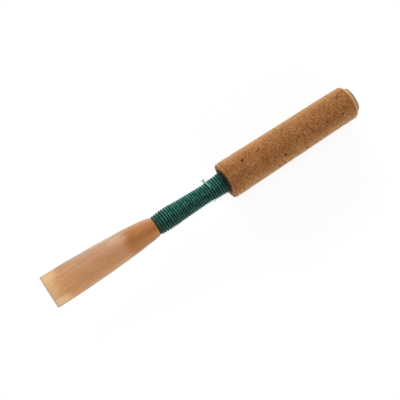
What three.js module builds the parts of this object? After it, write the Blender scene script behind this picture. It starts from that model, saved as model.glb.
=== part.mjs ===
// Oboe reed: two cane blades bound with thread to a conical metal staple, whose foot wears a cork sleeve.
// Millimetres. X runs from the tip of the blades to the foot of the staple, Y across the blades, Z up.
// The reed lies on its cork. The origin is on the table, under the middle of its length.
// Inside the reed's own group a place along X is counted from the tip, and the reed's axis is at Z 0.
import * as THREE from 'three';

// Staple: a thin metal tube, oval where the cane sits on it and round from there to its foot
const stapleLength = 47;
const stapleWall = 0.22;
const stapleTopHalfWidth = 1.42;
const stapleTopHalfHeight = 0.92;
const stapleOvalLength = 11.5;
const stapleRoundRadius = 1.43;
const stapleFootRadius = 2.6;
const stapleProudLength = 0.48;

const bareStapleLength = 4.65; // between the cane and the cork, under the thread alone

// Cork: a tapered sleeve on the staple, largest at its front, bevelled at its foot to a narrow land
const corkLength = 30.47;
const corkFootWall = 0.87;
const corkFootLand = 0.12;
const corkTaper = 0.36;
const corkRimRound = 0.18;
const corkBevelLength = 0.8;
const corkBevelBreakLengthShare = 0.55;
const corkBevelBreakDepthShare = 0.36;

// Cane: the blades reach past the staple to the tip, and their tails lie on it under the thread
const caneReach = 25;
const caneThickness = 0.55;
const tailSideThickness = 0.34;
const tipHalfWidth = 3.37;
const tipOpening = 0.66;
const tipThickness = 0.12;
const tipSideLand = 0.3;
const bladeSeam = 0.02;
const tipSectionPower = 1;
const throatSectionPower = 0.5;

// Thread: wound from just before the staple's top to the cork, with its end hitched over the turns
const threadDiameter = 0.26;
const threadLead = 0.5;
const threadTurns = 24;
const underlayerThickness = 0.3;
const hitchSetback = 3.58; // from the thread's end at the cork
const hitchRun = 0.6;
const hitchStartDegrees = 98;
const hitchEndDegrees = 14;
const cutEndLength = 1.2;
const cutEndLeanDegrees = 70;

// Clearances between pieces that lie on each other
const stapleFit = 0.03;
const turnFit = 0.04;
const endFit = 0.05;

// Facets. The round pieces have a flat facet at the bottom, on which the cork lies without rolling
const ringSides = 24;
const bladeSides = 12;
const threadSides = 6;
const stepsPerTurn = 24;
const hitchSteps = 8;
const cutEndSteps = 3;

// Colour, roughness and metalness of each material
const finishes = {
  staple: { color: 0xb9a684, roughness: 0.35, metalness: 1 },
  cork: { color: 0x9e6b43, roughness: 0.9, metalness: 0 },
  cane: { color: 0xc4966a, roughness: 0.55, metalness: 0 },
  thread: { color: 0x25655a, roughness: 0.65, metalness: 0 },
};

// Half width of the blades from the tip (share 1) to the throat (share 0), by share of their reach
const bladeWidthShares = [
  [0, 1], [0.05, 1.013], [0.2, 1.016], [0.3, 0.966], [0.42, 0.89], [0.54, 0.808], [0.66, 0.67],
  [0.79, 0.543], [0.86, 0.434], [0.92, 0.323], [0.95, 0.218], [0.975, 0.08], [1, 0],
];
// Half height of the pair of blades, from the tip (share 1) to the throat (share 0)
const bladeHeightShares = [
  [0, 1], [0.2, 0.82], [0.4, 0.6], [0.6, 0.362], [0.73, 0.2], [0.8, 0.133], [0.92, 0.038], [1, 0],
];
// Thickness of the cane: share 0 at the scraped tip, 1 under the bark, with the edge of the bark between
const caneThicknessShares = [
  [0, 0], [0.08, 0.12], [0.2, 0.3], [0.4, 0.56], [0.6, 0.74], [0.73, 0.81], [0.76, 0.95], [1, 1],
];
// Thickness of the cane on the staple, by share of the tail's length: it is thinned to a feather edge
const tailThicknessShares = [
  [0, 1], [0.22, 1.14], [0.37, 0.97], [0.46, 0.77], [0.61, 0.57], [0.71, 0.48], [0.84, 0.31], [1, 0.22],
];
// Thickness of the under turns on the bare staple, by share of their length from the cane to the cork
const underlayerShares = [
  [0, 0.26], [0.14, 0.49], [0.27, 0.66], [0.5, 0.63], [0.68, 0.61], [0.8, 0.83], [0.87, 1.02], [1, 0.97],
];
// Stations along the blades, by share of their reach and of the tail's length
const reachStationShares = [
  0, 0.04, 0.1, 0.2, 0.3, 0.4, 0.5, 0.6, 0.68, 0.73, 0.76, 0.8, 0.86, 0.92, 0.95, 0.975,
];
const tailStationShares = [0, 0.12, 0.22, 0.37, 0.46, 0.61, 0.71, 0.84, 1];

// Places along the reed, from the tip
const overallLength = caneReach + stapleLength;
const corkEndAt = overallLength - stapleProudLength;
const corkFrontAt = corkEndAt - corkLength;
const tailEndAt = corkFrontAt - bareStapleLength;
const threadStartAt = caneReach - threadLead;
const threadEndAt = corkFrontAt - endFit;
const underlayerStartAt = tailEndAt + endFit;
const underlayerEndAt = corkFrontAt - endFit;

// Sizes that follow from the others
const tailLength = tailEndAt - caneReach;
const corkFootRadius = stapleFootRadius + stapleFit + corkFootWall;
const corkFrontRadius = corkFootRadius + corkTaper;
const corkBevelDepth = corkFootWall - corkFootLand;

const { lerp, degToRad } = THREE.MathUtils;

// A value read from a table of [position share, value share], straight between its rows
function shareAt(shares, position) {
  const next = shares.findIndex(([at]) => at > position);
  if (next === 0) return shares[0][1];
  if (next < 0) return shares.at(-1)[1];
  const [fromAt, from] = shares[next - 1];
  const [toAt, to] = shares[next];
  return lerp(from, to, (position - fromAt) / (toAt - fromAt));
}

// A section across the reed is an oval, given by its half width along Y and half height along Z
function oval(halfWidth, halfHeight) {
  return { halfWidth, halfHeight };
}

function circle(radius) {
  return oval(radius, radius);
}

function grown(section, by) {
  return oval(section.halfWidth + by, section.halfHeight + by);
}

function stapleSection(x) {
  const depth = x - caneReach;
  if (depth < stapleOvalLength) {
    const share = depth / stapleOvalLength;
    return oval(
      lerp(stapleTopHalfWidth, stapleRoundRadius, share),
      lerp(stapleTopHalfHeight, stapleRoundRadius, share),
    );
  }
  const share = (depth - stapleOvalLength) / (stapleLength - stapleOvalLength);
  return circle(lerp(stapleRoundRadius, stapleFootRadius, share));
}

// Inside and outside of the cane on the staple: it lies on the metal and is bound down by the thread
function tailInside(x) {
  return grown(stapleSection(x), stapleFit);
}

function tailOutside(x) {
  const inside = tailInside(x);
  const share = shareAt(tailThicknessShares, (x - caneReach) / tailLength);
  return oval(inside.halfWidth + tailSideThickness * share, inside.halfHeight + caneThickness * share);
}

// Inside and outside of the blades between the tip and the throat
function reachOutside(x) {
  const throat = tailOutside(caneReach);
  const tipHalfHeight = tipOpening / 2 + tipThickness;
  const share = x / caneReach;
  return oval(
    lerp(throat.halfWidth, tipHalfWidth, shareAt(bladeWidthShares, share)),
    lerp(throat.halfHeight, tipHalfHeight, shareAt(bladeHeightShares, share)),
  );
}

function reachInside(x) {
  const outside = reachOutside(x);
  const share = x / caneReach;
  const sideLand = lerp(tipSideLand, tailSideThickness, share);
  const thickness = lerp(tipThickness, caneThickness, shareAt(caneThicknessShares, share));
  return oval(outside.halfWidth - sideLand, outside.halfHeight - thickness);
}

// Outside of the under turns, on the bare staple between the cane and the cork
function underlayerOutside(x) {
  const share = (x - underlayerStartAt) / (underlayerEndAt - underlayerStartAt);
  return grown(stapleSection(x), stapleFit + underlayerThickness * shareAt(underlayerShares, share));
}

// What the turns lie on: the throat of the blades, the cane's tail, then the under turns
function underThread(x) {
  if (x < caneReach) return reachOutside(x);
  if (x < tailEndAt) return tailOutside(x);
  return underlayerOutside(x);
}

// A closed ring of points in the plane across the reed at x
function ring(x, section) {
  return Array.from({ length: ringSides }, (_, side) => {
    const angle = ((side + 1 / 2) / ringSides) * Math.PI * 2;
    return new THREE.Vector3(x, section.halfWidth * Math.cos(angle), section.halfHeight * Math.sin(angle));
  });
}

// Joins rings of equally many points, one to the next, with their faces pointing out.
// A looped body joins its last ring to its first, and any other body gets a cap at each end.
function loft(rings, looped) {
  const sides = rings[0].length;
  const vertex = (ringAt, side) => (ringAt % rings.length) * sides + (side % sides);
  const triangles = [];
  const spans = looped ? rings.length : rings.length - 1;
  for (let span = 0; span < spans; span += 1) {
    for (let side = 0; side < sides; side += 1) {
      const near = vertex(span, side);
      const nearNext = vertex(span, side + 1);
      const far = vertex(span + 1, side);
      const farNext = vertex(span + 1, side + 1);
      triangles.push(near, nearNext, farNext, near, farNext, far);
    }
  }
  const last = rings.length - 1;
  for (let side = 0; !looped && side < sides / 2 - 1; side += 1) {
    const [a, b, c, d] = [side, side + 1, sides - 2 - side, sides - 1 - side];
    triangles.push(a, c, b, a, d, c);
    triangles.push(vertex(last, a), vertex(last, b), vertex(last, c));
    triangles.push(vertex(last, a), vertex(last, c), vertex(last, d));
  }
  const geometry = new THREE.BufferGeometry();
  const coordinates = rings.flat().flatMap((point) => point.toArray());
  geometry.setAttribute('position', new THREE.Float32BufferAttribute(coordinates, 3));
  geometry.setIndex(triangles);
  geometry.computeVertexNormals();
  return geometry;
}

// One piece of the reed, as a named mesh with its own material
function piece(name, geometry, finish) {
  const mesh = new THREE.Mesh(geometry, new THREE.MeshStandardMaterial(finish));
  mesh.name = name;
  return mesh;
}

// The staple: rings down its outside, then back up its bore
function stapleTube() {
  const stations = [caneReach, caneReach + stapleOvalLength, overallLength];
  const outside = stations.map((x) => ring(x, stapleSection(x)));
  const bore = stations.map((x) => ring(x, grown(stapleSection(x), -stapleWall))).reverse();
  return piece('staple_tube', loft([...outside, ...bore], true), finishes.staple);
}

// The cork: rounded front rim, straight taper, bevelled foot in two facets, bore that fits the staple
function corkSleeve() {
  const bore = (x) => ring(x, grown(stapleSection(x), stapleFit));
  const bevelAt = corkEndAt - corkBevelLength;
  const profile = [
    [corkFrontAt, corkFrontRadius - corkRimRound],
    [corkFrontAt + corkRimRound, corkFrontRadius],
    [bevelAt, corkFootRadius],
    [bevelAt + corkBevelLength * corkBevelBreakLengthShare,
      corkFootRadius - corkBevelDepth * corkBevelBreakDepthShare],
    [corkEndAt, corkFootRadius - corkBevelDepth],
  ];
  const outside = profile.map(([x, radius]) => ring(x, circle(radius)));
  return piece('cork_sleeve', loft([...outside, bore(corkEndAt), bore(corkFrontAt)], true), finishes.cork);
}

// One side of a blade's section, from +Y over the top to -Y. Its power makes it a low arch at the tip and
// half an oval at the throat
function arch(x, section, power) {
  return Array.from({ length: bladeSides + 1 }, (_, side) => {
    const angle = (side / bladeSides) * Math.PI;
    const rise = section.halfHeight * Math.max(Math.sin(angle), 0) ** (2 * power);
    return new THREE.Vector3(x, section.halfWidth * Math.cos(angle), bladeSeam / 2 + rise);
  });
}

// A blade with its tail, lofted from closed sections: along the bark side, then back along the inside
function caneBlade(name) {
  const reachRings = reachStationShares.map((share) => {
    const x = caneReach * share;
    const power = lerp(tipSectionPower, throatSectionPower, share);
    return [...arch(x, reachOutside(x), power), ...arch(x, reachInside(x), power).reverse()];
  });
  const tailRings = tailStationShares.map((share) => {
    const x = caneReach + tailLength * share;
    const power = throatSectionPower;
    return [...arch(x, tailOutside(x), power), ...arch(x, tailInside(x), power).reverse()];
  });
  return piece(name, loft([...reachRings, ...tailRings], false), finishes.cane);
}

// The under turns: a plain sleeve on the bare staple behind the cane
function threadUnderlayer() {
  const length = underlayerEndAt - underlayerStartAt;
  const stations = underlayerShares.map(([share]) => underlayerStartAt + length * share);
  const outside = stations.map((x) => ring(x, underlayerOutside(x)));
  const bore = [underlayerEndAt, underlayerStartAt].map((x) => ring(x, grown(stapleSection(x), stapleFit)));
  return piece('thread_underlayer', loft([...outside, ...bore], true), finishes.thread);
}

// A point on the thread's middle line, at an angle round the reed from +Y towards +Z
function onReed(x, angle, lift) {
  const section = grown(underThread(x), lift);
  return new THREE.Vector3(x, section.halfWidth * Math.cos(angle), section.halfHeight * Math.sin(angle));
}

// A round thread along a path: rings square to it, each with its first corner turned out from the reed
function threadAlong(path) {
  const rings = path.map((point, at) => {
    const before = path[Math.max(at - 1, 0)];
    const after = path[Math.min(at + 1, path.length - 1)];
    const along = after.clone().sub(before).normalize();
    const out = new THREE.Vector3(0, point.y, point.z);
    out.addScaledVector(along, -out.dot(along)).normalize();
    const across = along.clone().cross(out);
    return Array.from({ length: threadSides }, (_, side) => {
      const angle = (side / threadSides) * Math.PI * 2;
      return point.clone()
        .addScaledVector(out, (threadDiameter / 2) * Math.cos(angle))
        .addScaledVector(across, (threadDiameter / 2) * Math.sin(angle));
    });
  });
  return loft(rings, false);
}

// Lengthens a path by one thread diameter at each end, straight on
function withStraightEnds(path) {
  const extended = (end, neighbour) => end.clone()
    .add(end.clone().sub(neighbour).setLength(threadDiameter));
  return [extended(path[0], path[1]), ...path, extended(path.at(-1), path.at(-2))];
}

// The clear space between one turn and the next, the least of all pairs of points over half a turn apart
function leastGap(path) {
  let least = Infinity;
  for (let from = 0; from < path.length; from += 1) {
    for (let to = from + stepsPerTurn / 2; to < path.length; to += 1) {
      least = Math.min(least, path[from].distanceTo(path[to]) - threadDiameter);
    }
  }
  return least;
}

// The turns: one unbroken thread, wound from the throat of the blades to the cork
function threadWinding() {
  const firstAt = threadStartAt + threadDiameter / 2;
  const lastAt = threadEndAt - threadDiameter / 2;
  const steps = threadTurns * stepsPerTurn;
  const turns = Array.from({ length: steps + 1 }, (_, step) => {
    const angle = (step / stepsPerTurn) * Math.PI * 2;
    return onReed(lerp(firstAt, lastAt, step / steps), angle, turnFit + threadDiameter / 2);
  });
  const path = withStraightEnds(turns);
  console.log(`thread_winding: ${threadTurns} turns, least gap to itself ${leastGap(path).toFixed(3)} mm`);
  return piece('thread_winding', threadAlong(path), finishes.thread);
}

// The hitch that ties the thread off: it lies across the turns, and its cut end stands out at the side
function threadHitch() {
  const tiedAt = threadEndAt - hitchSetback;
  const lift = turnFit + threadDiameter + turnFit + threadDiameter / 2;
  const lying = Array.from({ length: hitchSteps + 1 }, (_, step) => {
    const share = step / hitchSteps;
    const angle = degToRad(lerp(hitchStartDegrees, hitchEndDegrees, share));
    return onReed(tiedAt - hitchRun * share * share, angle, lift);
  });
  const end = lying.at(-1);
  const lean = degToRad(cutEndLeanDegrees);
  const away = new THREE.Vector3(-Math.cos(lean), Math.sin(lean), 0);
  const standing = Array.from({ length: cutEndSteps }, (_, step) => end.clone()
    .addScaledVector(away, (cutEndLength * (step + 1)) / cutEndSteps));
  return piece('thread_hitch', threadAlong([...lying, ...standing]), finishes.thread);
}

// The reed: every piece in the reed's own frame, then the lower blade turned over
function oboeReed() {
  const reed = new THREE.Group();
  const lowerBlade = caneBlade('lower_blade');
  lowerBlade.rotation.x = Math.PI;
  reed.add(
    stapleTube(),
    corkSleeve(),
    caneBlade('upper_blade'),
    lowerBlade,
    threadUnderlayer(),
    threadWinding(),
    threadHitch(),
  );
  // The axis lies above the table by the distance from it to the cork's bottom facet at the front
  reed.position.set(-overallLength / 2, 0, corkFrontRadius * Math.cos(Math.PI / ringSides));
  return reed;
}

const group = new THREE.Group();
group.add(oboeReed());

export default group;
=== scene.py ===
# Oboe reed, dressed for its picture: scraped cane blades, twisted green thread, and sanded
# cork on a brass staple. Sizes are in millimetres, as in the part's source, with X counted
# from the tip of the blades, Y across them and Z from the reed's axis. placed() turns them
# into the frame's metres.
import math

import bpy
import numpy as np
from mathutils import Matrix, Vector, noise


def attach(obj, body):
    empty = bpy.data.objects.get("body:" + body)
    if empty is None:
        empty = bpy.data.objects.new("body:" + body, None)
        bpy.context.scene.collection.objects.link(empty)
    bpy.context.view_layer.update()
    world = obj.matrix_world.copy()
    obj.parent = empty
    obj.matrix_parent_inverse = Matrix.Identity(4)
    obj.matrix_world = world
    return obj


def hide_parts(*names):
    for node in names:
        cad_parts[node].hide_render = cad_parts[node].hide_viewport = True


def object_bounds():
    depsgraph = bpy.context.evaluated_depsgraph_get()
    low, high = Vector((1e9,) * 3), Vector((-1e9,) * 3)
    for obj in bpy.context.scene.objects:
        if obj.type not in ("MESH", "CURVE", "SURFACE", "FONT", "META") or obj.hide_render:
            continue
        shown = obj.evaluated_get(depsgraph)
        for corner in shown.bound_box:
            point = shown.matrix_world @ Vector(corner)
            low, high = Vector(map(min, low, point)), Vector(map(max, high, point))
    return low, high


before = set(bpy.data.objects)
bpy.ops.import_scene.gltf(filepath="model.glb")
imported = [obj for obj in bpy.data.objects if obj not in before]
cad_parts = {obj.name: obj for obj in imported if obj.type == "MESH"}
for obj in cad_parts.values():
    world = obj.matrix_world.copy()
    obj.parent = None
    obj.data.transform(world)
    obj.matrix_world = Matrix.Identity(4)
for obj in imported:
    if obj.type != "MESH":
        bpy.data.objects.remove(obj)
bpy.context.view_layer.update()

# The frame's origin is on the table, under the middle of the reed's length
HALF_LENGTH = 36.0
AXIS_HEIGHT = 3.827
MM = 0.001

# Places along the reed
BARK_EDGE = 18.35
BLADE_REACH = 25.0
FIRST_TURN, LAST_TURN = 24.66, 40.75
TAIL_END = 36.4
CORK_FRONT = 40.96
FOOT = 72.0

# Blades
HALF_SEAM = 0.01  # half the gap where the two meet
EDGE_WIDTH, EDGE_GROWTH = 0.3, 0.04  # the flat on which they meet, and what it gains by the staple
TAIL_SIDE, TAIL_TOP = 0.34, 0.55  # thickness of the tails where they start
SCRAPE_DEPTH = 0.05  # below the bark

# Staple: an oval top that turns round, then a cone to the foot
STAPLE_LENGTH, STAPLE_OVAL_LENGTH = 47.0, 11.5
STAPLE_TOP_WIDE, STAPLE_TOP_HIGH = 1.42, 0.92  # half sizes
STAPLE_ROUND, STAPLE_FOOT = 1.43, 2.6  # radius where it has turned round, and at the foot
STAPLE_WALL = 0.22
STAPLE_FIT = 0.03  # between the staple and what is tied on it

# Cork
CORK_RADIUS, CORK_TAPER = 3.857, 0.34  # at the front, and what it loses by the foot
CORK_MIDDLE_RADIUS = 3.7
RIM_WEAR = 0.07
SMALL_PORES = 230

# Thread
TURN_HALF_WIDTH, TURN_HALF_HEIGHT = 0.238, 0.23
TWIST_LENGTH = 0.95  # in which the three strands go round once
STRAND_RADIUS, STRAND_OFFSET = 0.78, 0.26  # a strand's radius and its distance from the middle
TURNS_START, TURNS_END, STEPS_PER_TURN = -0.4, 31.2, 150
UNDER_TURNS = 0.3  # thickness of the turns on the bare staple
GROUND_DEPTH = 0.26  # from the crests of the turns down to the dark ground between them
FRAYED_FIBRES, LOOSE_FIBRES = 13, 46


# Small helpers for shapes

def smooth_step(start, end, value):
    share = np.clip((np.asarray(value, float) - start) / (end - start), 0.0, 1.0)
    return share * share * (3.0 - 2.0 * share)


def curve_through(rows):
    """A smooth curve through (place, value) rows that never overshoots them."""
    place, value = (np.array(column, float) for column in zip(*rows))
    run = np.diff(place)
    slope = np.diff(value) / run
    lean = np.zeros_like(value)
    same_way = slope[:-1] * slope[1:] > 0
    before, after = slope[:-1][same_way], slope[1:][same_way]
    lean[1:-1][same_way] = 2 * before * after / (before + after)
    lean[0], lean[-1] = slope[0], slope[-1]

    def read(at):
        at = np.clip(np.asarray(at, float), place[0], place[-1])
        span = np.clip(np.searchsorted(place, at, side="right") - 1, 0, len(run) - 1)
        share = (at - place[span]) / run[span]
        start, end = value[span], value[span + 1]
        lean_start, lean_end = lean[span] * run[span], lean[span + 1] * run[span]
        square, cube = share**2, share**3
        return (start * (2 * cube - 3 * square + 1) + lean_start * (cube - 2 * square + share)
                + end * (3 * square - 2 * cube) + lean_end * (cube - square))

    return read


# The reed is tied by hand: its blades lean a little from the line of the cork
sideways = curve_through([
    (0.0, 0.12), (14.0, 0.0), (21.5, -0.03), (23.8, -0.13), (25.0, -0.15), (28.0, -0.1),
    (41.0, -0.08), (56.0, 0.01), (65.0, 0.09), (72.0, 0.06)])


def placed(points):
    moved = np.array(points, float).reshape(-1, 3)
    moved[:, 1] += sideways(moved[:, 0])
    return (moved + (-HALF_LENGTH, 0.0, AXIS_HEIGHT)) * MM


def unit(vectors):
    return vectors / np.linalg.norm(vectors, axis=-1, keepdims=True)


def full_circle(count):
    return np.linspace(0.0, 2 * math.pi, count, endpoint=False)


def angle_gap(angle, centre):
    """The turn from centre to angle, the short way round."""
    return (angle - centre + math.pi) % (2 * math.pi) - math.pi


def oval(x, wide, high, angle):
    """Points round the reed's axis at x. The angle runs from +Y over the top."""
    return np.stack([np.full_like(angle, x), wide * np.cos(angle), high * np.sin(angle)], -1)


def ripple(points, size, seed):
    """Smooth noise from about -1 to 1, with one wave about every size millimetres."""
    shift = Vector((17.3 * seed, 5.1 * seed, 9.7 * seed))
    return np.array([noise.noise(Vector(point) / size + shift) for point in points])


def ring_faces(rows, columns, joined=False):
    """Faces between neighbouring rings of points. joined ties the last ring to the first."""
    row, column = np.meshgrid(np.arange(rows if joined else rows - 1), np.arange(columns),
                              indexing="ij")
    next_row, next_column = (row + 1) % rows, (column + 1) % columns
    corners = (row * columns + column, row * columns + next_column,
               next_row * columns + next_column, next_row * columns + column)
    return np.stack(corners, -1).reshape(-1, 4).tolist()


def tube_faces(rows, columns):
    """The faces of a tube with closed ends."""
    faces = ring_faces(rows, columns)
    faces.append(list(range(columns))[::-1])
    faces.append([(rows - 1) * columns + i for i in range(columns)])
    return faces


def add_piece(name, points, faces, material, stands_for=(), sharp_degrees=None, values=None):
    """A mesh object that rides on the reed. values holds a number at each point for its finish."""
    mesh = bpy.data.meshes.new(name)
    mesh.from_pydata(placed(points).tolist(), [], faces)
    mesh.shade_smooth()
    if sharp_degrees is not None:
        mesh.set_sharp_from_angle(angle=math.radians(sharp_degrees))
    for key, numbers in (values or {}).items():
        layer = mesh.attributes.new(key, "FLOAT", "POINT")
        layer.data.foreach_set("value", np.asarray(numbers, np.float32).reshape(-1))
    mesh.materials.append(material)
    piece = bpy.data.objects.new(name, mesh)
    bpy.context.scene.collection.objects.link(piece)
    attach(piece, "root")
    if stands_for:
        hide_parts(*stands_for)
    return piece


# Small helpers for materials

def linear(red, green, blue):
    """A colour as it is seen on screen, from 0 to 255, as the shader wants it."""
    def one(value):
        share = value / 255.0
        return share / 12.92 if share <= 0.04045 else ((share + 0.055) / 1.055) ** 2.4
    return (one(red), one(green), one(blue), 1.0)


class Nodes:
    """The node tree of a material or of the world."""

    def __init__(self, owner, output):
        owner.use_nodes = True
        self.tree = owner.node_tree
        self.tree.nodes.clear()
        self.surface = self.tree.nodes.new(output).inputs["Surface"]

    def plug(self, value, socket):
        """Links another node's result to the socket, or writes a plain value there."""
        if isinstance(value, bpy.types.NodeSocket):
            self.tree.links.new(value, socket)
        else:
            socket.default_value = value

    def node(self, kind, inputs=None, **settings):
        made = self.tree.nodes.new(kind)
        for key, value in settings.items():
            setattr(made, key, value)
        for key, value in (inputs or {}).items():
            self.plug(value, made.inputs[key])
        return made

    def math(self, operation, *values):
        return self.node("ShaderNodeMath", dict(enumerate(values)), operation=operation).outputs[0]

    def both(self, first, second):
        """The share of the surface where first and second hold together."""
        return self.math("MULTIPLY", first, second)

    def vector(self, operation, *values):
        made = self.node("ShaderNodeVectorMath", dict(enumerate(values)), operation=operation)
        return made.outputs["Value" if operation == "LENGTH" else "Vector"]

    def between(self, value, low, high, low_to=0.0, high_to=1.0):
        """low_to where value is low, high_to where it is high, and a soft change between them."""
        inputs = {"Value": value, "From Min": low, "From Max": high,
                  "To Min": low_to, "To Max": high_to}
        made = self.node("ShaderNodeMapRange", inputs, interpolation_type="SMOOTHSTEP")
        return made.outputs["Result"]


class Finish(Nodes):
    """A piece's material, drawn by the place on the reed."""

    def __init__(self, name):
        self.material = bpy.data.materials.new(name)
        super().__init__(self.material, "ShaderNodeOutputMaterial")
        self.shader = self.node("ShaderNodeBsdfPrincipled")
        self.plug(self.shader.outputs["BSDF"], self.surface)
        self.place = None

    def set(self, values):
        for key, value in values.items():
            self.plug(value, self.shader.inputs[key])

    def millimetres(self):
        """The place on the reed in millimetres, counted from the tip along X."""
        if self.place is None:
            metres = self.node("ShaderNodeTexCoord").outputs["Object"]
            scaled = self.vector("MULTIPLY", metres, (1.0 / MM,) * 3)
            self.place = self.vector("ADD", scaled, (HALF_LENGTH, 0.0, -AXIS_HEIGHT))
        return self.place

    def axis(self, letter):
        return self.node("ShaderNodeSeparateXYZ", {0: self.millimetres()}).outputs[letter]

    def stretched(self, x, y, z):
        """The place with each direction multiplied, so that a pattern is drawn out."""
        return self.vector("MULTIPLY", self.millimetres(), (x, y, z))

    def noise(self, vector, scale, detail=2.0, roughness=0.5):
        inputs = {"Vector": vector, "Scale": scale, "Detail": detail, "Roughness": roughness}
        return self.node("ShaderNodeTexNoise", inputs).outputs["Fac"]

    def spots(self, vector, scale):
        inputs = {"Vector": vector, "Scale": scale}
        return self.node("ShaderNodeTexVoronoi", inputs).outputs["Distance"]

    def attribute(self, name):
        return self.node("ShaderNodeAttribute", attribute_name=name).outputs["Fac"]

    def ramp(self, value, stops):
        """A colour read from (place, screen colour) stops. value runs from 0 to 1."""
        made = self.node("ShaderNodeValToRGB", {0: value})
        ramp = made.color_ramp
        ramp.interpolation = "EASE"
        while len(ramp.elements) < len(stops):
            ramp.elements.new(0.5)
        for element, (position, _) in zip(ramp.elements, stops):
            element.position = position
        for element, (_, colour) in zip(ramp.elements, stops):
            element.color = linear(*colour)
        return made.outputs["Color"]

    def blend(self, share, first, second, mode="MIX"):
        """first where share is 0, and second where it is 1."""
        made = self.node("ShaderNodeMix", {0: share, 6: first, 7: second},
                         data_type="RGBA", blend_type=mode)
        return made.outputs[2]

    def layers(self, base, rows):
        """base with the screen colour of each (share, colour) row laid over it in turn."""
        for share, colour in rows:
            base = self.blend(share, base, linear(*colour))
        return base

    def bump(self, height, strength, depth):
        """Fine relief from a pattern, depth millimetres deep."""
        made = self.node("ShaderNodeBump", {"Strength": strength, "Distance": depth * MM,
                                            "Height": height})
        self.plug(made.outputs["Normal"], self.shader.inputs["Normal"])


# Materials. On the blades, across runs from -1 at the side edge on -Y to 1 at the one on +Y.

def scrape_colour(finish, x, across):
    """The scraped cane: pale at the thin tip and rosy brown behind it."""
    edge = finish.math("ABSOLUTE", across)
    sway = finish.noise(finish.stretched(0.25, 0.7, 0.7), 1.0, 3.0, 0.6)
    corners = finish.math("MULTIPLY", finish.math("MULTIPLY", edge, edge), -1.2)
    wavy = finish.math("MULTIPLY_ADD", sway, 2.0, -1.0)
    depth = finish.math("ADD", finish.math("ADD", x, corners), wavy)
    base = finish.ramp(finish.math("DIVIDE", depth, BLADE_REACH), [
        (0.0, (232, 187, 135)), (0.056, (230, 182, 129)), (0.084, (221, 166, 115)),
        (0.115, (211, 154, 105)), (0.3, (203, 147, 103)), (0.55, (197, 143, 101)),
        (0.72, (195, 143, 102))])
    # The half on +Y is greyer: a painted reflection of the light on that side. It is dull towards its
    # side edge.
    # The other half is paler there, which is painted light, and warm near the tip.
    painted_reflection_half = finish.both(finish.between(across, 0.05, 0.5),
                            finish.between(x, 3.0, 8.0, 0.0, 0.5))
    dull_side = finish.both(finish.between(across, 0.4, 0.9, 0.0, 0.6),
                            finish.between(x, 8.5, 4.5, 1.0, 0.55))
    painted_light_side = finish.between(across, -0.4, -0.9, 0.0, 0.3)
    warm_side = finish.both(finish.between(across, -0.5, -0.85, 0.0, 0.45),
                            finish.between(x, 9.0, 3.0))
    # The corners of the tip are the palest, and pale specks lie round them
    to_corner = finish.math("MAXIMUM", finish.between(across, 0.4, 0.9, 0.0, 0.7),
                            finish.between(across, -0.3, -0.8, 0.0, 0.75))
    from_tip = finish.math("MULTIPLY_ADD", sway, 3.0, finish.math("SUBTRACT", x, 1.5))
    pale_corner = finish.both(finish.between(from_tip, 4.4, 1.3), to_corner)
    speck = finish.noise(finish.stretched(2.2, 3.4, 3.4), 1.0, 2.0)
    speck = finish.both(finish.between(speck, 0.56, 0.7, 0.0, 0.5), finish.between(x, 5.0, 1.5))
    # A rosy patch lies beside the middle, where the scrape is deepest: a painted highlight where that
    # slope faces the light
    patch = finish.vector("SUBTRACT", finish.stretched(0.42, 1.0, 0.0), (6.85, 1.7, 0.0))
    patch = finish.between(finish.vector("LENGTH", patch), 1.3, 0.2, 0.0, 0.5)
    return finish.layers(base, [
        (painted_reflection_half, (202, 156, 122)), (dull_side, (166, 144, 114)), (painted_light_side, (200, 164, 122)),
        (warm_side, (240, 168, 112)), (pale_corner, (248, 208, 156)), (speck, (255, 222, 160)),
        (patch, (212, 174, 148))])


def bark_colour(finish, across):
    """Golden bark with a lit band along it."""
    tone = finish.noise(finish.stretched(0.16, 0.8, 0.8), 1.0, 3.0, 0.6)
    base = finish.ramp(tone, [(0.32, (155, 95, 49)), (0.5, (164, 104, 55)), (0.68, (177, 117, 64))])
    dull_side = finish.between(across, 0.3, 0.8, 0.0, 0.1)
    lit_band = finish.both(finish.between(across, -0.12, -0.3, 0.0, 0.35),
                           finish.between(across, -0.75, -0.5))
    return finish.layers(base, [(dull_side, (190, 144, 104)), (lit_band, (202, 138, 76))])


def bark_share(finish, x, across):
    """The bark starts at a slightly slanting, frayed line."""
    line = finish.math("MULTIPLY_ADD", finish.axis("Y"), -0.07, x)
    line = finish.math("SUBTRACT", line, finish.between(across, -0.1, 0.5, 0.0, 0.7))
    fray = finish.noise(finish.stretched(0.4, 2.0, 2.0), 1.0, 2.0)
    return finish.between(finish.math("MULTIPLY_ADD", fray, 1.2, line), 16.9, 19.3)


def dull_throat(finish, base, x, across):
    """The side edges are soiled close to the thread."""
    sides = finish.math("MAXIMUM", finish.between(across, 0.65, 0.95),
                        finish.between(across, -0.8, -1.0))
    share = finish.both(finish.between(x, 14.0, 18.0, 0.0, 0.55), sides)
    soil = finish.blend(finish.between(x, 18.5, 22.0), linear(138, 104, 68), linear(152, 136, 106))
    return finish.blend(share, base, soil)


def cane_fibres(finish, base, bark):
    """Fine pale and dark lines and a few long reddish streaks run the whole length."""
    fibre = finish.noise(finish.stretched(0.17, 6.0, 6.0), 1.0, 3.0, 0.7)
    lines = finish.ramp(fibre, [
        (0.3, (204, 193, 182)), (0.5, (248, 247, 246)), (0.72, (255, 255, 255))])
    base = finish.blend(finish.between(bark, 0.0, 1.0, 0.65, 0.35), base, lines, "MULTIPLY")
    pale = finish.both(finish.between(fibre, 0.55, 0.75, 0.0, 0.35),
                       finish.between(bark, 0.0, 1.0, 1.0, 0.5))
    streak = finish.noise(finish.stretched(0.13, 2.0, 2.0), 1.0, 3.0, 0.6)
    streak = finish.between(streak, 0.56, 0.74, 0.0, 0.45)
    return finish.layers(base, [(pale, (236, 200, 160)), (streak, (198, 116, 66))])


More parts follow.
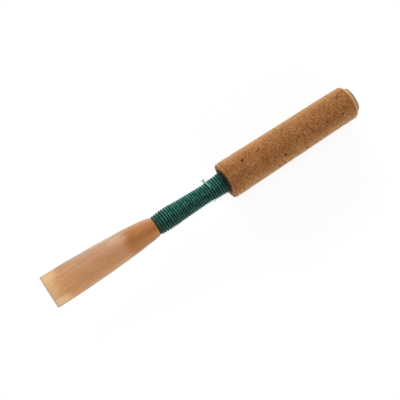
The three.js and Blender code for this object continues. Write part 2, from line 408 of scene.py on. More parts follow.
def cane_edges(finish, base, x, across):
    """The side edges and the thin rim of the tip are greyer, one side more than the other: partly grey
    dirt, partly painted shade.
    """
    height = finish.math("ABSOLUTE", finish.axis("Z"))
    low = finish.between(height, 0.6, 0.1, 0.0, 0.6)
    grey_near = finish.math("MINIMUM", finish.between(across, -0.84, -1.0, 0.0, 0.6), low)
    grey_far = finish.math("MINIMUM", finish.between(across, 0.84, 1.0, 0.0, 0.35), low)
    corner = finish.between(finish.math("ABSOLUTE", across), 0.965, 0.995, 0.0, 0.35)
    tip_rim = finish.between(x, 0.45, 0.05, 0.0, 0.7)
    # A dark line runs where the two blades meet, fainter where they are thin
    seam = finish.both(finish.between(height, 0.1, 0.04, 0.0, 0.65),
                       finish.between(x, 2.0, 9.0, 0.3, 1.0))
    return finish.layers(base, [
        (grey_near, (198, 185, 162)), (grey_far, (182, 178, 162)), (corner, (156, 130, 98)),
        (tip_rim, (186, 170, 152)), (seam, (96, 64, 38))])


def cane_finish():
    """Scraped cane, glossier bark near the thread, and fibres over both."""
    finish = Finish("scraped_cane")
    x, across = finish.axis("X"), finish.attribute("across")
    bark = bark_share(finish, x, across)
    base = finish.blend(bark, scrape_colour(finish, x, across), bark_colour(finish, across))
    base = dull_throat(finish, base, x, across)
    base = cane_fibres(finish, base, bark)
    base = cane_edges(finish, base, x, across)
    finish.set({"Base Color": base, "Roughness": finish.between(bark, 0.0, 1.0, 0.56, 0.46),
                "Specular IOR Level": 0.2})
    grain = finish.noise(finish.stretched(0.3, 14.0, 14.0), 1.0, 3.0, 0.6)
    finish.bump(grain, strength=0.35, depth=0.04)
    return finish.material


def sanding_marks(finish, x, y, z):
    """A pattern of fine marks that run round the cork at a slant."""
    cosine, sine, drawn_out = 0.84, 0.54, 0.2
    over = finish.math("MULTIPLY_ADD", y, -sine, finish.math("MULTIPLY", x, cosine))
    along = finish.math("MULTIPLY_ADD", y, cosine, finish.math("MULTIPLY", x, sine))
    slant = finish.node("ShaderNodeCombineXYZ", {
        "X": over, "Y": finish.math("MULTIPLY", along, drawn_out),
        "Z": finish.math("MULTIPLY", z, drawn_out)}).outputs[0]
    return finish.noise(slant, 2.6, 2.0, 0.5)


def glue_and_shade_front(finish, base, x, height, mottle):
    """The front face is dark round the thread, partly with glue and partly with painted shade, and
    less so at its sides.
    """
    face = finish.between(x, CORK_FRONT + 0.1, CORK_FRONT + 0.02)
    blotch = finish.between(finish.noise(finish.millimetres(), 3.0, 2.0), 0.54, 0.42, 0.0, 0.75)
    spread = finish.vector("LENGTH", finish.stretched(0.0, 1.08, 0.7))
    glue_and_shade = finish.between(finish.math("MULTIPLY_ADD", mottle, 0.8, spread), 3.6, 2.9, 0.0, 0.9)
    rim = finish.both(finish.between(x, 41.2, 41.0, 0.0, 0.3), finish.between(height, 2.6, 3.6))
    return finish.layers(base, [
        (finish.math("MULTIPLY", face, 0.8), (212, 163, 117)),
        (finish.both(face, blotch), (120, 78, 46)), (finish.both(face, glue_and_shade), (64, 44, 26)),
        (rim, (70, 40, 20))])


def cork_finish(name, sheen):
    """Cork: warm brown with fine dark and pale grains, dark pores and pale chips.

    sheen is the soft nap that sanding raises.
    """
    finish = Finish(name)
    here = finish.millimetres()
    x, y, z = (finish.axis(letter) for letter in "XYZ")
    height = finish.math("ABSOLUTE", z)
    broad = finish.noise(here, 0.35, 3.0, 0.6)
    middle = finish.noise(here, 2.2, 3.0, 0.65)
    fine = finish.noise(here, 4.6, 2.0, 0.6)
    marks = sanding_marks(finish, x, y, z)
    specks = finish.spots(here, 2.1)
    tint = finish.noise(here, 0.8, 1.0, 0.5)
    base = finish.ramp(broad, [(0.3, (153, 93, 43)), (0.5, (163, 103, 50)), (0.7, (176, 114, 58))])
    mottle = finish.ramp(middle, [
        (0.34, (184, 172, 160)), (0.5, (244, 244, 244)), (0.66, (255, 255, 255))])
    base = finish.blend(0.2, base, mottle, "MULTIPLY")
    base = finish.layers(base, [
        # Its two sides are paler, a painted light for the light that grazes them, and the bevel at the
        # foot is freshly cut
        (finish.between(height, 2.9, 1.8, 0.0, 0.5), (177, 137, 91)),
        (finish.between(x, 70.7, 70.95, 0.0, 0.75), (204, 146, 84)),
        # Pale and dark grains, then pale and dark sanding marks
        (finish.between(fine, 0.55, 0.68, 0.0, 0.9), (212, 162, 104)),
        (finish.between(fine, 0.45, 0.32, 0.0, 0.9), (88, 46, 20)),
        (finish.between(marks, 0.46, 0.34, 0.0, 0.22), (104, 58, 28)),
        (finish.between(marks, 0.54, 0.68, 0.0, 0.2), (206, 150, 96)),
        # Dark specks and a few warmer patches
        (finish.between(specks, 0.2, 0.1, 0.0, 0.5), (84, 46, 22)),
        (finish.between(tint, 0.6, 0.72, 0.0, 0.2), (196, 112, 46))])
    base = glue_and_shade_front(finish, base, x, height, middle)
    base = finish.layers(base, [
        (finish.attribute("pore"), (38, 18, 6)), (finish.attribute("chip"), (222, 186, 136))])
    finish.set({"Base Color": base, "Diffuse Roughness": 0.8, "Roughness": 0.85,
                "Specular IOR Level": 0.08, "Sheen Weight": sheen, "Sheen Roughness": 0.55,
                "Sheen Tint": (1.0, 0.95, 0.74, 1.0)})
    finish.bump(finish.math("MULTIPLY_ADD", fine, 0.7, middle), strength=0.6, depth=0.06)
    return finish.material


def thread_finish():
    """Green nylon thread: pale where it is worn, with painted highlights on the crests of its turns
    and painted shade, almost black, between them.
    """
    finish = Finish("green_thread")
    here, x = finish.millimetres(), finish.axis("X")
    base = finish.ramp(finish.noise(here, 1.2, 2.0, 0.5), [
        (0.3, (16, 90, 73)), (0.5, (24, 94, 84)), (0.7, (42, 101, 98))])
    shaded_side = finish.between(finish.axis("Y"), 0.3, -0.8, 0.0, 0.5)
    glue_and_shade_end = finish.between(x, 39.0, 40.7, 0.0, 0.9)
    base = finish.layers(base, [
        (finish.attribute("bright"), (122, 178, 164)),
        # One side is painted darker as shade, the last turns are darker with glue and painted shadow
        # from the cork, and the first one is browner
        (finish.math("MAXIMUM", shaded_side, glue_and_shade_end), (14, 34, 28)),
        (finish.between(x, 25.1, 24.9, 0.0, 0.8), (72, 78, 54)),
        (finish.attribute("hollow"), (0, 28, 23))])
    finish.set({"Base Color": base, "Roughness": 0.33, "Specular IOR Level": 0.06,
                "Sheen Weight": 0.18, "Sheen Roughness": 0.25})
    finish.bump(finish.noise(here, 16.0, 2.0, 0.6), strength=0.25, depth=0.03)
    return finish.material


def staple_finish():
    """Brass, a little tarnished outside and brighter in the bore."""
    finish = Finish("staple_brass")
    patch = finish.noise(finish.millimetres(), 1.2, 3.0, 0.6)
    base = finish.ramp(patch, [(0.35, (104, 82, 54)), (0.6, (136, 110, 76))])
    base = finish.layers(base, [(finish.attribute("inside"), (196, 168, 112))])
    finish.set({"Base Color": base, "Metallic": 0.8,
                "Roughness": finish.between(patch, 0.3, 0.7, 0.68, 0.5)})
    scratches = finish.noise(finish.stretched(1.0, 6.0, 6.0), 3.0, 2.0)
    finish.bump(scratches, strength=0.15, depth=0.03)
    return finish.material


CANE = cane_finish()
CORK = cork_finish("sanded_cork", 0.3)
CORK_FACE = cork_finish("cut_cork", 0.0)
THREAD = thread_finish()
BRASS = staple_finish()


# The reed's sections, as in the part's source, but smooth. Each function gives a half width
# and a half height.

def staple_section(x):
    depth = np.asarray(x, float) - BLADE_REACH
    share = np.clip(depth / STAPLE_OVAL_LENGTH, 0.0, 1.0)
    cone = np.clip((depth - STAPLE_OVAL_LENGTH) / (STAPLE_LENGTH - STAPLE_OVAL_LENGTH), 0.0, 1.0)
    cone = cone * (STAPLE_FOOT - STAPLE_ROUND)
    return (STAPLE_TOP_WIDE + (STAPLE_ROUND - STAPLE_TOP_WIDE) * share + cone,
            STAPLE_TOP_HIGH + (STAPLE_ROUND - STAPLE_TOP_HIGH) * share + cone)


# Shares of a full thickness, for the tails and for the turns on the bare staple
tail_share = curve_through([
    (25.0, 1.0), (27.51, 1.14), (29.22, 0.97), (30.24, 0.77), (31.95, 0.57), (33.09, 0.48),
    (34.58, 0.31), (36.4, 0.22)])
under_share = curve_through([
    (36.45, 0.26), (37.09, 0.49), (37.68, 0.66), (38.72, 0.63), (39.54, 0.61), (40.09, 0.83),
    (40.41, 1.02), (41.0, 0.97)])
# The blades in front of the staple
blade_half_width = curve_through([
    (0.0, 3.35), (0.1, 3.42), (0.3, 3.45), (2.5, 3.455), (5.0, 3.42), (8.9, 3.29), (12.0, 3.195),
    (15.1, 3.01), (18.2, 2.815), (19.8, 2.69), (21.35, 2.515), (22.9, 2.33), (23.7, 2.155),
    (24.2, 2.03), (24.35, 1.92), (24.55, 1.8), (25.0, 1.79)])
blade_half_height = curve_through([
    (0.0, 0.45), (5.0, 0.639), (10.0, 0.87), (15.0, 1.12), (18.25, 1.29), (20.0, 1.36),
    (23.0, 1.46), (24.2, 1.47), (24.55, 1.36), (25.0, 1.5)])
cane_thickness = curve_through([
    (0.0, 0.12), (2.0, 0.172), (5.0, 0.249), (10.0, 0.361), (15.0, 0.438), (18.25, 0.468),
    (19.0, 0.528), (25.0, 0.55)])
# Over the turns of the thread
turns_half_width = curve_through([
    (24.4, 2.04), (25.25, 2.13), (26.5, 2.21), (27.9, 2.22), (30.2, 2.1), (32.0, 2.035),
    (33.2, 2.0), (34.7, 1.945), (36.4, 1.915), (37.2, 2.0), (37.8, 2.07), (38.8, 2.1),
    (39.6, 2.13), (40.1, 2.2), (41.0, 2.27)])


def cane_outside(x):
    wide, high = staple_section(x)
    share = tail_share(x)
    in_front = np.asarray(x, float) < BLADE_REACH
    return (np.where(in_front, blade_half_width(x), wide + STAPLE_FIT + TAIL_SIDE * share),
            np.where(in_front, blade_half_height(x), high + STAPLE_FIT + TAIL_TOP * share))


def cane_inside(x):
    x = np.asarray(x, float)
    in_front = x < BLADE_REACH
    wide, high = cane_outside(x)
    edge = EDGE_WIDTH + EDGE_GROWTH * x / BLADE_REACH
    staple_wide, staple_high = staple_section(x)
    return (np.where(in_front, wide - edge, staple_wide + STAPLE_FIT),
            np.where(in_front, high - cane_thickness(x), staple_high + STAPLE_FIT))


def under_thread(x):
    """What the outer turns lie on: the tails of the blades, then the turns behind them."""
    cane_wide, cane_high = cane_outside(x)
    wide, high = staple_section(x)
    extra = STAPLE_FIT + UNDER_TURNS * under_share(x)
    behind = smooth_step(TAIL_END - 0.2, TAIL_END + 0.2, x)
    return (cane_wide * (1 - behind) + (wide + extra) * behind,
            cane_high * (1 - behind) + (high + extra) * behind)


def thread_outside(x):
    wide = turns_half_width(x)
    under_wide, under_high = under_thread(x)
    return wide, under_high + (wide - under_wide)


# Cane blades

def blade_piece(name, node, side):
    """One blade with its tail. side is 1 for the upper blade and -1 for the lower one."""
    # The stations are closest together at the tip and at the bark's edge
    stations = np.concatenate([np.linspace(*span) for span in (
        (0.0, 0.3, 4), (0.45, 17.4, 96), (17.5, 19.6, 29), (19.75, 24.9, 34),
        (BLADE_REACH, TAIL_END, 40))])
    turn = np.linspace(0.0, math.pi, 57)
    rings, across = [], []
    for x in stations:
        # The arch is shaped like a low bell at the tip, and like half an oval at the staple
        power = np.interp(x, [0.0, BLADE_REACH], [2.0, 1.0])
        rise = np.maximum(np.sin(turn), 0.0) ** power
        outer, inner = (
            np.stack([np.full_like(turn, x), wide * np.cos(turn), HALF_SEAM + high * rise], -1)
            for wide, high in (cane_outside(x), cane_inside(x)))
        # The scrape leaves the cane lower than the bark, deepest just before the bark's edge
        edge = BARK_EDGE + 0.06 * outer[:, 1] + 0.12 * np.sin(outer[:, 1] * 2.3 + 0.6 * side)
        scraped = smooth_step(9.0, 17.6, x) * (1 - smooth_step(-0.22, 0.22, x - edge))
        outer[:, 2] -= SCRAPE_DEPTH * scraped * rise
        rings.append(np.concatenate([outer, inner[::-1]]))
        across.append(rings[-1][:, 1] / outer[0, 1] * side)
    grid = np.array(rings)
    grid[:, :, 1:] *= side
    rows, columns, _ = grid.shape
    faces = ring_faces(rows, columns)
    # A strip of faces closes the tip, and another the end of the tail
    for first, order in ((0, 1), ((rows - 1) * columns, -1)):
        for i in range(columns // 2 - 1):
            corners = (i, columns - 1 - i, columns - 2 - i, i + 1)
            faces.append([first + corner for corner in corners][::order])
    add_piece(name, grid, faces, CANE, (node,), sharp_degrees=40,
              values={"across": across})


# Staple

def staple_piece():
    # Rows of place along the reed and distance out from the tube's outer face
    outside = [(25.02, -0.05), (25.06, 0.0)]
    outside += [(x, 0.0) for x in np.linspace(25.5, 71.7, 90)]
    outside += [(71.8, -0.02), (71.88, -0.05), (71.95, -0.1), (FOOT, -0.16)]
    inside = [(FOOT, -0.18), (71.97, -0.21)]
    inside += [(x, -STAPLE_WALL) for x in np.linspace(71.9, 25.5, 60)]
    inside += [(25.06, -STAPLE_WALL), (25.02, -0.17)]
    angle = full_circle(96)
    rings = []
    for x, lift in outside + inside:
        wide, high = staple_section(x)
        rings.append(oval(x, wide + lift, high + lift, angle))
    within = np.repeat([0.0] * len(outside) + [1.0] * len(inside), len(angle))
    add_piece("staple_brass_tube", rings, ring_faces(len(rings), len(angle), joined=True),
              BRASS, ("staple_tube",), values={"inside": within})


# Cork. Its profile is made of rows of place along the reed and radius.

FRONT_BORE = [(44.0, 1.68), (41.6, 1.63), (41.2, 1.62), (40.98, 1.66)]
FRONT_RIM = [(40.965, 3.66), (40.985, 3.71), (41.03, 3.745), (41.12, 3.77)]
FOOT_BEVEL = [(70.62, 3.52), (70.72, 3.5), (70.84, 3.44), (71.0, 3.32), (71.2, 3.12),
              (71.4, 2.91), (71.55, 2.76), (71.66, 2.66), (71.67, 2.63)]
FOOT_BORE = [(71.6, 2.605), (71.0, 2.6), (60.0, 2.24)]

# The marks that can be made out: place along the reed, angle round it in degrees from +Y over
# the top, half length, half width, depth
MARKS = [
    (45.45, 64, 0.27, 0.24, 0.34), (49.1, 66, 0.5, 0.2, 0.06), (49.6, 60, 0.22, 0.16, 0.06),
    (53.6, 123, 0.34, 0.24, 0.17), (51.6, 151, 0.36, 0.22, 0.2), (53.0, 152, 0.42, 0.2, 0.2),
    (60.5, 96, 0.2, 0.2, 0.1), (64.2, 108, 0.24, 0.17, 0.2), (67.8, 114, 0.26, 0.19, 0.14),
    (68.5, 58, 0.3, 0.12, 0.2), (68.9, 53, 0.14, 0.3, 0.2), (69.25, 60, 0.24, 0.11, 0.18),
    (68.2, 51, 0.12, 0.12, 0.12), (64.0, 63, 0.12, 0.1, 0.1), (60.4, 18, 0.36, 0.09, 0.12),
    (58.4, 154, 0.26, 0.24, 0.2), (63.3, 149, 0.34, 0.16, 0.12), (43.2, 148, 0.2, 0.16, 0.14),
    (56.2, 151, 0.2, 0.18, 0.14), (41.5, 22, 0.16, 0.2, 0.16), (41.35, 33, 0.12, 0.14, 0.12),
    (41.3, 155, 0.2, 0.2, 0.2), (41.8, 147, 0.16, 0.14, 0.14), (41.2, 140, 0.16, 0.14, 0.16),
    (42.1, 152, 0.14, 0.14, 0.14),
]

# Pale chips: place, angle, size
CHIPS = [
    (46.1, 140, 0.17), (46.4, 137, 0.13), (53.4, 153, 0.2), (51.2, 160, 0.14), (41.7, 157, 0.2),
    (42.6, 163, 0.14), (44.1, 20, 0.16), (57.2, 158, 0.16), (62.1, 152, 0.13), (66.0, 150, 0.12),
    (48.3, 150, 0.1), (71.05, 62, 0.13), (71.2, 52, 0.16), (71.3, 70, 0.12), (71.15, 80, 0.1),
    (71.35, 44, 0.12), (71.1, 101, 0.1),
]


def cork_profile():
    """From the bore at the front round the outside to the bore at the foot."""
    step = 0.088
    # The taper runs from first to last
    first, last = 41.3, 70.72
    face = [(CORK_FRONT, radius) for radius in np.arange(1.74, 3.6, step)]
    outside = []
    for x in np.arange(41.2, 70.56, step):
        worn = RIM_WEAR * (1 - smooth_step(41.2, 42.2, x))
        outside.append((x, CORK_RADIUS - CORK_TAPER * (x - first) / (last - first) - worn))
    return np.array(FRONT_BORE + face + FRONT_RIM + outside + FOOT_BEVEL + FOOT_BORE)


def cork_marks():
    """The marks that can be made out, and small pores strewn over the rest."""
    random = np.random.default_rng(7)
    marks = [(at, math.radians(degrees), *sizes) for at, degrees, *sizes in MARKS]
    for _ in range(SMALL_PORES):
        size = 0.05 + 0.08 * random.random() ** 2.5
        marks.append((random.uniform(41.2, 71.0), random.uniform(0.0, 2 * math.pi),
                      size * random.uniform(0.8, 1.5), size * random.uniform(0.7, 1.2),
                      size * random.uniform(0.5, 1.1)))
    return marks


def cork_relief(points, angle, radius):
    """How far each point is lifted, and how much of it is pore and pale chip."""
    x = points[:, 0]
    lift = (0.03 * ripple(points, 2.6, 1) + 0.022 * ripple(points, 0.62, 2)
            + 0.014 * ripple(points, 0.27, 3))
    # The front rim and the bevel crumble a little
    near_rim = np.exp(-((x - 41.06) / 0.22) ** 2) * smooth_step(3.3, 3.6, radius)
    near_bevel = smooth_step(70.5, 70.8, x)
    crumble = ripple(points, 0.55, 4)
    lift -= near_rim * 0.12 * np.maximum(crumble, 0.0) + near_bevel * 0.05 * np.abs(crumble)
    ragged = 1 + 0.5 * ripple(points, 0.16, 5)
    chip, pore = np.zeros(len(points)), np.zeros(len(points))
    for at, degrees, size in CHIPS:
        around = angle_gap(angle, math.radians(degrees)) * CORK_MIDDLE_RADIUS
        chip = np.maximum(chip, 1 - smooth_step(0.5, 1.1, np.hypot(x - at, around) / size * ragged))
    lift += 0.03 * chip
    for at, centre, long, wide, deep in cork_marks():
        close = np.abs(x - at) < 2.2 * max(long, wide)
        around = angle_gap(angle[close], centre) * radius[close]
        away = np.hypot((x[close] - at) / long, around / wide) * ragged[close]
        pit = 1 - smooth_step(0.55, 1.15, away)
        lift[close] -= deep * pit
        pore[close] = np.maximum(pore[close], pit * min(1.0, 0.3 + 2.6 * deep))
    return lift, pore, chip


def cork_piece():
    corners = cork_profile()
    rows, columns = len(corners), 264
    angle = full_circle(columns)
    points = np.concatenate([oval(x, radius, radius, angle) for x, radius in corners])
    angle = np.tile(angle, rows)
    lift, pore, chip = cork_relief(points, angle, np.repeat(corners[:, 1], columns))
    # Only the outside is rough: the bore is glued to the staple
    rough = np.zeros(rows)
    rough[len(FRONT_BORE):-len(FOOT_BORE)] = 1.0
    rough = np.repeat(rough, columns)
    lift *= rough
    pore *= rough
    chip *= rough * (1 - pore)
    along = np.repeat(unit(np.gradient(corners, axis=0)), columns, axis=0)
    outward = along[:, 0] * lift
    points += oval(-along[:, 1] * lift, outward, outward, angle)
    # The underside is pressed flat where the reed lies
    points[:, 2] = np.maximum(points[:, 2], -AXIS_HEIGHT + 0.002)
    piece = add_piece("cork_sleeve_sanded", points, ring_faces(rows, columns, joined=True),
                      CORK, ("cork_sleeve",), values={"pore": pore, "chip": chip})
    # The front face and the pores aren't sanded, so they have no sheen
    piece.data.materials.append(CORK_FACE)
    front = corners[:, 0] < 41.0
    front &= np.roll(front, -1)
    unsanded = np.repeat(front, columns) | (pore > 0.3)
    piece.data.polygons.foreach_set("material_index", unsanded.astype(np.int32))


# Thread

def thread_tube(path, half_width, half_height, out, twist_length, sides, swell=1.0):
    """A cord of three twisted strands, and how deep each point lies between the strands.

    out points away from what the cord lies on, and swell is its thickness, at each place.
    """
    along = unit(np.gradient(path, axis=0))
    out = unit(out - (out * along).sum(1)[:, None] * along)
    across = np.cross(along, out)
    run = np.concatenate([[0.0], np.cumsum(np.linalg.norm(np.diff(path, axis=0), axis=1))])
    angle = full_circle(sides)[None, :]
    twist = run[:, None] * (2 * math.pi / twist_length)
    reach = np.zeros((len(path), sides))
    for strand in range(3):
        gap = angle - twist - strand * 2 * math.pi / 3
        inside = np.maximum(STRAND_RADIUS**2 - (STRAND_OFFSET * np.sin(gap)) ** 2, 0.0)
        reach = np.maximum(reach, STRAND_OFFSET * np.cos(gap) + np.sqrt(inside))
    reach *= np.reshape(swell, (-1, 1)) / (STRAND_OFFSET + STRAND_RADIUS)
    side = half_width * reach * np.cos(angle)
    rise = half_height * reach * np.sin(angle)
    ring = side[..., None] * across[:, None, :] + rise[..., None] * out[:, None, :]
    return path[:, None, :] + ring, 1 - smooth_step(0.84, 0.93, reach)


# How far apart the turns lie, by turn: looser at the throat and by the cork than over the tails
turn_pitch = curve_through([
    (0.0, 0.5), (2.0, 0.56), (3.5, 0.61), (5.0, 0.53), (7.0, 0.5), (23.0, 0.505), (24.3, 0.62),
    (25.6, 0.49), (27.4, 0.59), (29.5, 0.54), (31.0, 0.5)])


def winding_piece():
    count = round((TURNS_END - TURNS_START) * STEPS_PER_TURN) + 1
    turn = np.linspace(TURNS_START, TURNS_END, count)
    # At each whole number of turns the thread is on top. The first turn starts level, as its
    # end is caught under the next.
    pitch = turn_pitch(turn) * smooth_step(0.15, 0.35, turn)
    run = np.cumsum(pitch - 0.12 * (1 - smooth_step(-0.1, 0.2, turn)))
    x = FIRST_TURN + (run - run[0]) * (LAST_TURN - FIRST_TURN) / (run[-1] - run[0])
    angle = turn * 2 * math.pi + math.pi / 2
    wide, high = thread_outside(x)
    uneven = np.array([noise.noise(Vector((t * 0.9, 3.3, 1.1))) for t in turn])
    rougher = smooth_step(23.5, 26.0, turn)
    x = x + uneven * (0.03 + 0.05 * rougher)
    lift = uneven[::-1] * (0.016 + 0.035 * rougher) - TURN_HALF_HEIGHT
    lift -= 0.1 * (1 - smooth_step(0.3, 0.9, turn))
    path = oval(x, wide + lift, high + lift, angle)
    out = oval(0.0, 1 / wide, 1 / high, angle)
    points, hollow = thread_tube(path, TURN_HALF_WIDTH, TURN_HALF_HEIGHT, out, TWIST_LENGTH, sides=16)
    rows, columns, _ = points.shape
    # Painted shade: the flanks of a turn, which lie in the hollow beside the next one, are darkened,
    # and the first turn a little too
    crest = np.sin(full_circle(columns))[None, :]
    hollow = np.maximum(hollow * 0.5, 1 - smooth_step(0.5, 0.97, crest))
    hollow = np.maximum(hollow, 0.3 * (1 - smooth_step(0.6, 0.9, turn))[:, None])
    # Worn patches are paler. The crests carry a painted highlight, strongest on the +Y side and weaker
    # on the -Y side
    worn = ripple(points.reshape(-1, 3), 0.7, 6).reshape(rows, columns)
    hollow = np.clip(hollow + 0.35 * np.maximum(-worn, 0.0) * (1 - hollow), 0.0, 1.0)
    side = np.cos(angle)[:, None]
    side_highlight = (0.85 * smooth_step(0.7, 0.95, side) - 0.25 * smooth_step(0.2, 0.5, side)
              + 0.2 * smooth_step(0.6, 0.9, -side))
    bright = (0.3 + side_highlight + 0.5 * worn).clip(0.0, 1.0) * smooth_step(0.85, 1.0, crest)
    add_piece("thread_turns", points, tube_faces(rows, columns), THREAD,
              ("thread_winding",), values={"hollow": hollow, "bright": bright * (1 - hollow)})


def under_piece():
    """The turns below, seen only as a dark ground between the outer ones: painted dark all over as
    shade.
    """
    first, last = 24.62, 40.98
    angle = full_circle(72)
    rings = []
    for x in np.linspace(first, last, 90):
        wide, high = thread_outside(x)
        rings.append(oval(x, wide - GROUND_DEPTH, high - GROUND_DEPTH, angle))
    # It closes on the staple by the cork, and on the blades at the throat
    wide, high = staple_section(last)
    rings.append(oval(last, wide + 0.02, high + 0.02, angle))
    wide, high = thread_outside(first)
    rings.append(oval(first, wide - 0.3, high - 0.3, angle))
    add_piece("thread_under_turns", rings, ring_faces(len(rings), len(angle), joined=True), THREAD,
              ("thread_underlayer",), values={"hollow": np.ones(len(rings) * len(angle))})


def on_turns(x, degrees, lift):
    """A point over the turns, at an angle round the reed from +Y over the top."""
    wide, high = thread_outside(x)
    return oval(x, wide + lift, high + lift, math.radians(degrees))


def along_spline(points, count):
    """Points spread evenly along a smooth curve through the given ones."""
    points = np.asarray(points, float)
    run = np.concatenate([[0.0], np.cumsum(np.linalg.norm(np.diff(points, axis=0), axis=1))])
    at = np.linspace(0.0, run[-1], count)
    return np.stack([curve_through(list(zip(run, column)))(at) for column in points.T], -1)


def crossing_piece():
    """The end of the thread, which comes up through the turns and crosses them."""
    # Rows of place along the reed, angle round it and height over the turns
    route = [(37.68, 84, -0.36), (37.62, 75, -0.18), (37.55, 67, -0.04), (37.47, 59, 0.04),
             (37.39, 49, 0.07), (37.33, 32, 0.08), (37.29, 15, 0.1), (37.26, 6, 0.2),
             (37.25, 5, 0.4)]
    # It thins to its cut end, and is brightest where it crosses the turns
    count = 140
    step = np.arange(count)
    path = along_spline([on_turns(*row) for row in route], count)
    points, hollow = thread_tube(path, half_width=0.16, half_height=0.14, out=path * (0.0, 1.0, 1.0),
                                 twist_length=0.8, sides=14,
                                 swell=1 - 0.45 * smooth_step(112, 139, step))
    rows, columns, _ = points.shape
    bright = 0.85 * smooth_step(15, 40, step) * (1 - 0.5 * smooth_step(118, 135, step))
    add_piece("thread_end", points, tube_faces(rows, columns), THREAD, ("thread_hitch",),
              values={"hollow": hollow * 0.6, "bright": np.repeat(bright, columns)})


def fibre_points(random, start, way, length, curl, radius):
    """One loose fibre: a thin tube that starts at start, heads way and bends at random."""
    steps = 12
    way = unit(np.array(way, float))
    route = [start]
    bend = random.standard_normal(3) * curl
    for _ in range(steps):
        way = unit(way + bend * length / steps + random.standard_normal(3) * 0.06)
        route.append(route[-1] + way * length / steps)
    path = np.array(route)
    along = unit(np.gradient(path, axis=0))
    # Any direction that no fibre follows will do to find its sides
    side = unit(np.cross(along, (0.31, 0.17, 0.93)))
    other = np.cross(along, side)
    thin = radius * (1 - 0.5 * np.linspace(0, 1, len(path)) ** 2)[:, None, None]
    angle = full_circle(5)[None, :, None]
    ring = np.cos(angle) * side[:, None, :] + np.sin(angle) * other[:, None, :]
    return path[:, None, :] + thin * ring


def fibres_piece(name, fibres):
    points, faces, first = [], [], 0
    for tube in fibres:
        rows, columns, _ = tube.shape
        faces += [[first + i for i in face] for face in tube_faces(rows, columns)]
        points.append(tube.reshape(-1, 3))
        first += rows * columns
    add_piece(name, np.concatenate(points), faces, THREAD,
              values={"bright": np.full(first, 0.25)})


def frayed_end():
    random = np.random.default_rng(5)
    fibres = []
    for _ in range(FRAYED_FIBRES):
        x, degrees = 37.27 + 0.1 * random.standard_normal(), 6 + 5 * random.standard_normal()
        start = on_turns(x, degrees, lift=0.22)
        way = (-0.1 + 0.35 * random.standard_normal(), 0.9, 0.2 + 0.3 * random.standard_normal())
        fibres.append(fibre_points(random, start, way, length=random.uniform(0.6, 1.35), curl=1.1,
                                   radius=0.022))
    fibres_piece("thread_end_fibres", fibres)


def fuzz():
    random = np.random.default_rng(12)
    fibres = []
    for _ in range(LOOSE_FIBRES):
        # Most of them stand by the cork and on the side away from the tied-off end
        x = random.uniform(25.5, 40.4) if random.random() < 0.35 else random.normal(38.0, 1.2)
        x = min(max(x, 25.0), 40.7)
        degrees = random.choice([random.normal(172, 14), random.uniform(0, 360)], p=[0.6, 0.4])
        start = on_turns(x, degrees, lift=-0.03)
        outward = oval(0.0, 1.0, 1.0, math.radians(degrees))
        way = outward * random.uniform(0.25, 0.9) + np.array([random.standard_normal(), 0, 0]) * 0.8
        fibres.append(fibre_points(random, start, way, length=random.uniform(0.25, 0.8), curl=1.6,
                                   radius=0.013))
    fibres_piece("thread_fuzz", fibres)


# Studio: a white floor, a white surround for the camera, and lamps on both sides and above.
# Its sizes are in metres.

FLOOR_HALF = 3.0
FLOOR_GREY = (0.8, 0.8, 0.8, 1.0)
FLOOR_WHITE = 1.18
WHITE_SHARE = 0.7  # of the floor near the reed: the rest of it shows a faint shadow
SHADOW_REACH, WHITE_FROM = 0.08, 0.35  # from the first to the second the floor turns all white
WORLD_LIGHT = 0.3
WHITE = (1.0, 1.0, 1.0, 1.0)
LAMP_TARGET = (0, 0, 0.004)
LAMPS = [
    # name, place, width, height, watts
    ("lamp_left", (0.02, 0.52, 0.11), 0.5, 0.22, 4.1),
    ("lamp_right", (0.02, -0.52, 0.14), 0.5, 0.24, 2.3),
    ("lamp_above", (0.0, 0.1, 0.6), 0.4, 0.4, 0.66),
]

# The photograph's camera: its place in millimetres from the tip and the reed's axis, how far
# it leans towards the foot and how far the picture is turned, in degrees, and its focal
# length and the picture's width in pixels
CAMERA_PLACE = (-8.386, -0.514, 263.33)
CAMERA_LEAN, CAMERA_TURN = 9.3, 32.615
FOCAL_LENGTH, PICTURE_WIDTH = 1353.0, 400.0
SENSOR_WIDTH = 36.0


def seen_directly(nodes):
    """1 for what the camera sees, also mirrored or through glass, and 0 for light on the reed."""
    path = nodes.node("ShaderNodeLightPath").outputs
    seen = nodes.math("MAXIMUM", path["Is Camera Ray"], path["Is Glossy Ray"])
    return nodes.math("MAXIMUM", seen, path["Is Transmission Ray"])


def white_floor():
    low = min(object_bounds()[0].z, 0.0)
    corners = ((-1, -1), (1, -1), (1, 1), (-1, 1))
    mesh = bpy.data.meshes.new("floor")
    mesh.from_pydata([(x * FLOOR_HALF, y * FLOOR_HALF, low) for x, y in corners], [], [(0, 1, 2, 3)])
    floor = bpy.data.objects.new("floor", mesh)
    bpy.context.scene.collection.objects.link(floor)
    material = bpy.data.materials.new("floor_white")
    nodes = Nodes(material, "ShaderNodeOutputMaterial")
    matt = nodes.node("ShaderNodeBsdfDiffuse", {"Color": FLOOR_GREY}).outputs[0]
    glow = nodes.node("ShaderNodeEmission", {"Strength": FLOOR_WHITE}).outputs[0]
    distance = nodes.vector("LENGTH", nodes.node("ShaderNodeTexCoord").outputs["Object"])
    away = nodes.between(distance, SHADOW_REACH, WHITE_FROM, WHITE_SHARE, 1.0)
    share = nodes.both(seen_directly(nodes), away)
    mix = nodes.node("ShaderNodeMixShader", {0: share, 1: matt, 2: glow})
    nodes.plug(mix.outputs[0], nodes.surface)
    mesh.materials.append(material)


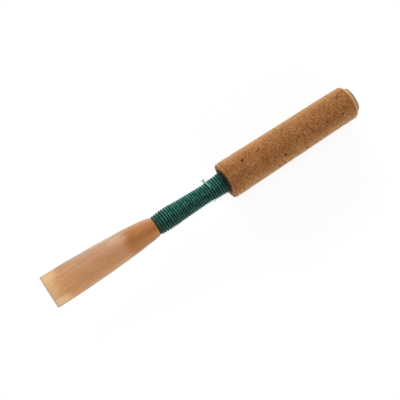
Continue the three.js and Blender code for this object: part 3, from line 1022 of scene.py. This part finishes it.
def studio():
    world = bpy.data.worlds.new("studio")
    bpy.context.scene.world = world
    nodes = Nodes(world, "ShaderNodeOutputWorld")
    lit, white = (nodes.node("ShaderNodeBackground", {"Color": WHITE, "Strength": strength}).outputs[0]
                  for strength in (WORLD_LIGHT, 1.0))
    mix = nodes.node("ShaderNodeMixShader", {0: seen_directly(nodes), 1: lit, 2: white})
    nodes.plug(mix.outputs[0], nodes.surface)
    for name, place, width, height, watts in LAMPS:
        light = bpy.data.lights.new(name, "AREA")
        light.shape = "RECTANGLE"
        light.size, light.size_y, light.energy = width, height, watts
        lamp = bpy.data.objects.new(name, light)
        lamp.location = place
        lamp.rotation_mode = "QUATERNION"
        lamp.rotation_quaternion = (Vector(LAMP_TARGET) - Vector(place)).to_track_quat("-Z", "Y")
        bpy.context.scene.collection.objects.link(lamp)


def camera():
    """Above the blades, turned so that the reed rises to the right."""
    lean, turn = math.radians(CAMERA_LEAN), math.radians(CAMERA_TURN)
    ahead = Vector((math.sin(lean), 0.0, -math.cos(lean)))
    along = Vector((math.cos(lean), 0.0, math.sin(lean)))
    across = Vector((0.0, 1.0, 0.0))
    right = along * math.cos(turn) - across * math.sin(turn)
    up = along * math.sin(turn) + across * math.cos(turn)
    x, y, z = CAMERA_PLACE
    place = Vector(((x - HALF_LENGTH) * MM, y * MM, (z + AXIS_HEIGHT) * MM))
    data = bpy.data.cameras.new("camera")
    data.sensor_width = SENSOR_WIDTH
    data.lens = SENSOR_WIDTH * FOCAL_LENGTH / PICTURE_WIDTH
    data.clip_start, data.clip_end = 0.01, 10.0
    made = bpy.data.objects.new("camera", data)
    bpy.context.scene.collection.objects.link(made)
    columns = ((*right, 0.0), (*up, 0.0), (*-ahead, 0.0), (*place, 1.0))
    made.matrix_world = Matrix(columns).transposed()
    bpy.context.scene.camera = made


blade_piece("upper_cane_blade", "upper_blade", 1)
blade_piece("lower_cane_blade", "lower_blade", -1)
staple_piece()
cork_piece()
winding_piece()
under_piece()
crossing_piece()
frayed_end()
fuzz()
studio()
white_floor()
camera()
bpy.context.scene.view_settings.view_transform = "Standard"
